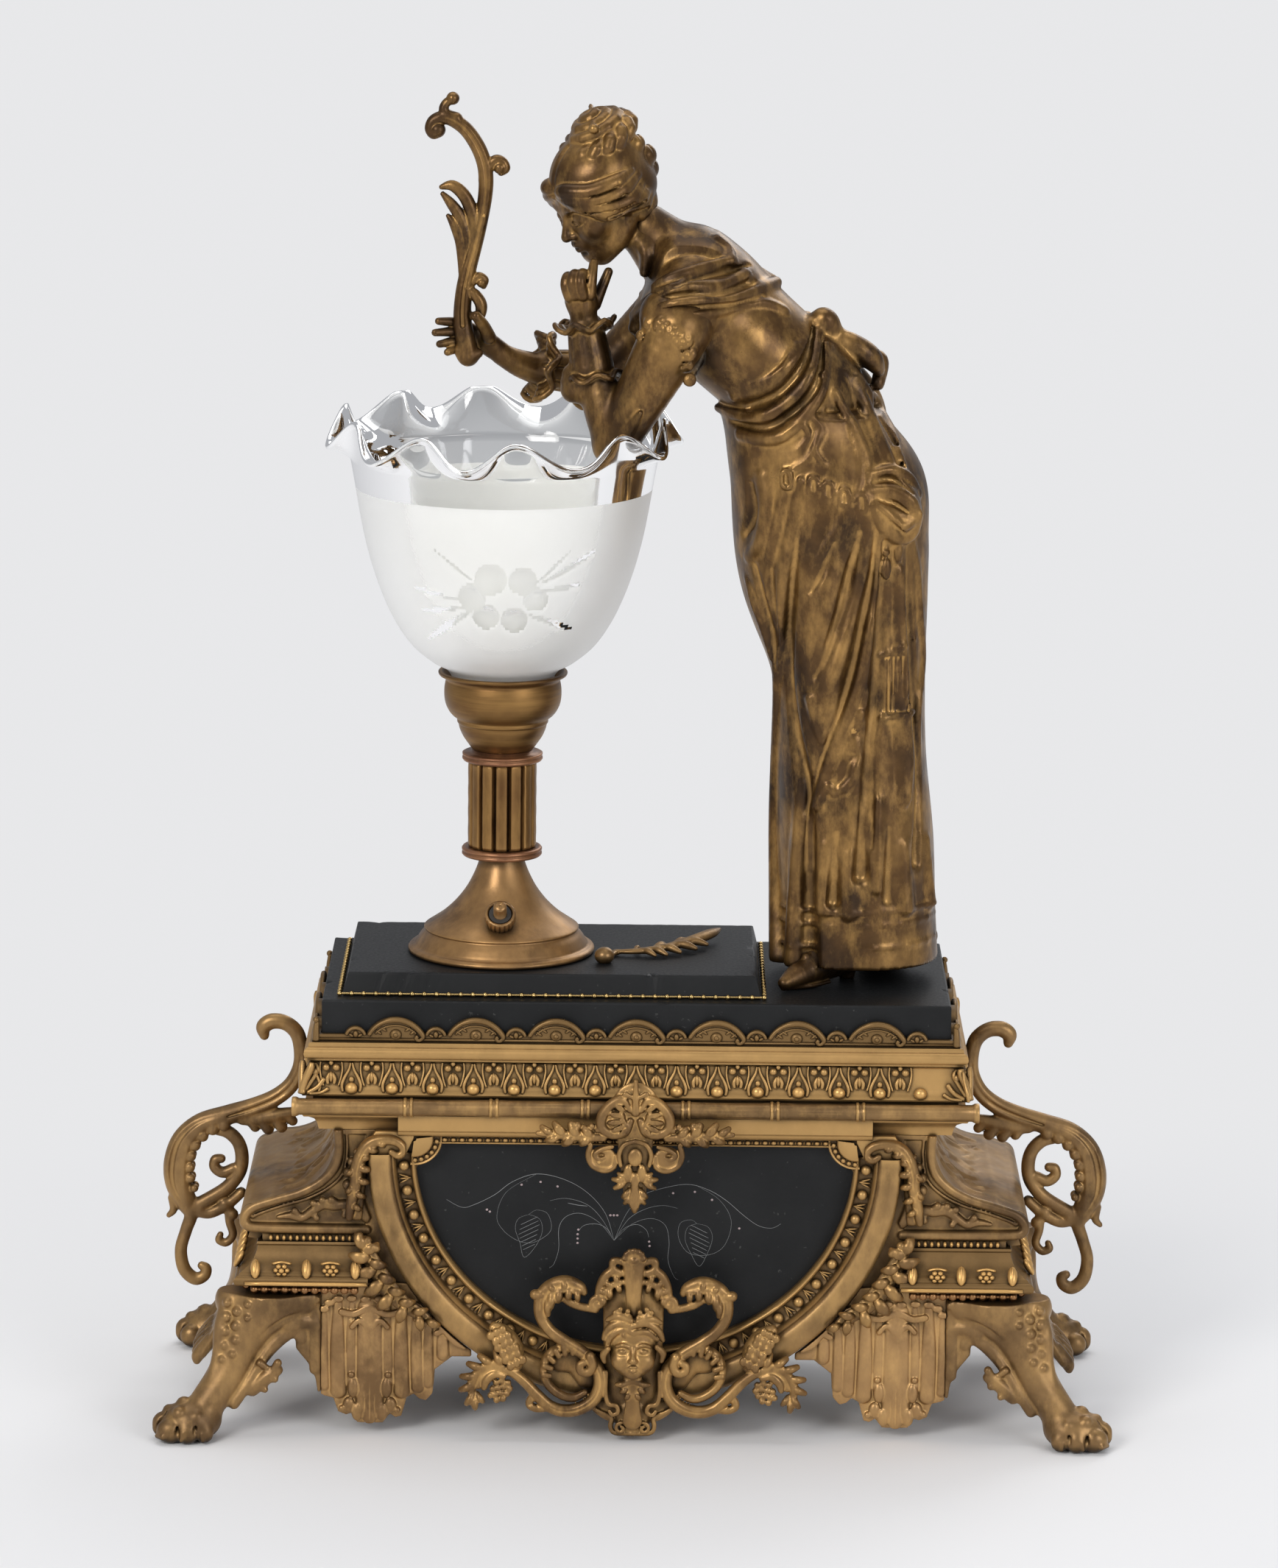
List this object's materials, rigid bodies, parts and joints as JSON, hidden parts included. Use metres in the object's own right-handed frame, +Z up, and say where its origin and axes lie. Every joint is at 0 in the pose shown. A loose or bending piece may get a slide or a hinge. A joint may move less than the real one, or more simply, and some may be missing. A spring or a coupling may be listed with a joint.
{
  "type": "figural table lamp",
  "caption": "Table lamp with a fluted column and a ruffled glass shade beside a leaning classical figure, on a slate top over a cast scroll-handled case with paw feet.",
  "frame": {"origin": "on the table under the middle of the case, at the bottom centre of the bounding box", "axes": "+Z up, +X to the right seen from the front, -Y towards the viewer at the front"},
  "size_m": [0.424, 0.172, 0.5882],
  "materials": {
    "cast_bronze": "patinated, rubbed highlights",
    "figure_bronze": "patinated, rubbed highlights",
    "column_brass": "dark antique",
    "bright_brass": "polished",
    "black_slate": "honed",
    "clear_glass": "clear rim, frosted body",
    "plated_steel": "plated",
    "painted_sheet": "matt",
    "glazed_holder": "gloss",
    "dark_insulation": "matt"
  },
  "bodies": {
    "body": {"case_front": "cast_bronze", "case_back": "cast_bronze", "case_side_left": "cast_bronze", "case_side_right": "cast_bronze", "panel_frame": "cast_bronze", "upper_cornice": "cast_bronze", "drop_frieze": "cast_bronze", "torus_rail": "cast_bronze", "bamboo_rod": "cast_bronze", "gallery": "cast_bronze", "lower_mouldings": "cast_bronze", "bead_strips": "cast_bronze", "foot_front_right": "cast_bronze", "foot_front_left": "cast_bronze", "foot_back_right": "cast_bronze", "foot_back_left": "cast_bronze", "front_aprons": "cast_bronze", "side_aprons": "cast_bronze", "mask_mount": "cast_bronze", "acanthus_mount": "cast_bronze", "frame_leaves": "cast_bronze", "scroll_handle_right": "cast_bronze", "scroll_handle_left": "cast_bronze", "fallen_leaf": "cast_bronze", "figure_skirt": "figure_bronze", "figure_torso": "figure_bronze", "figure_head": "figure_bronze", "near_arm": "figure_bronze", "far_arm": "figure_bronze", "sash_bow": "figure_bronze", "lyre_scroll": "figure_bronze", "figure_shoes": "figure_bronze", "lamp_foot": "column_brass", "lower_disc": "column_brass", "fluted_column": "column_brass", "upper_disc": "column_brass", "holder_cup": "column_brass", "switch_nut": "column_brass", "shade_ring": "column_brass", "bead_chain": "bright_brass", "bulb_cap": "bright_brass", "slate_panel": "black_slate", "plinth_slab": "black_slate", "lamp_plinth": "black_slate", "glass_shade": "clear_glass", "bulb_glass": "clear_glass", "back_cover_screws": "plated_steel", "brace_bars": "plated_steel", "tie_rods": "plated_steel", "tie_nuts": "plated_steel", "threaded_tube": "plated_steel", "tube_nuts": "plated_steel", "switch_spring": "plated_steel", "figure_bolt": "plated_steel", "back_cover": "painted_sheet", "lampholder": "glazed_holder", "cable_gland": "dark_insulation", "inner_lead": "dark_insulation", "switch_body": "dark_insulation"},
    "button": {"switch_button": "column_brass"}
  },
  "joints": [
    {"name": "switch_press", "type": "slide", "parent": "body", "child": "button", "axis": [0, 0.7071, -0.7071], "range_m": [0, 0.003], "stiffness_N_per_m": 400, "springref_m": -0.0005, "deforming": ["switch_spring"]}
  ]
}
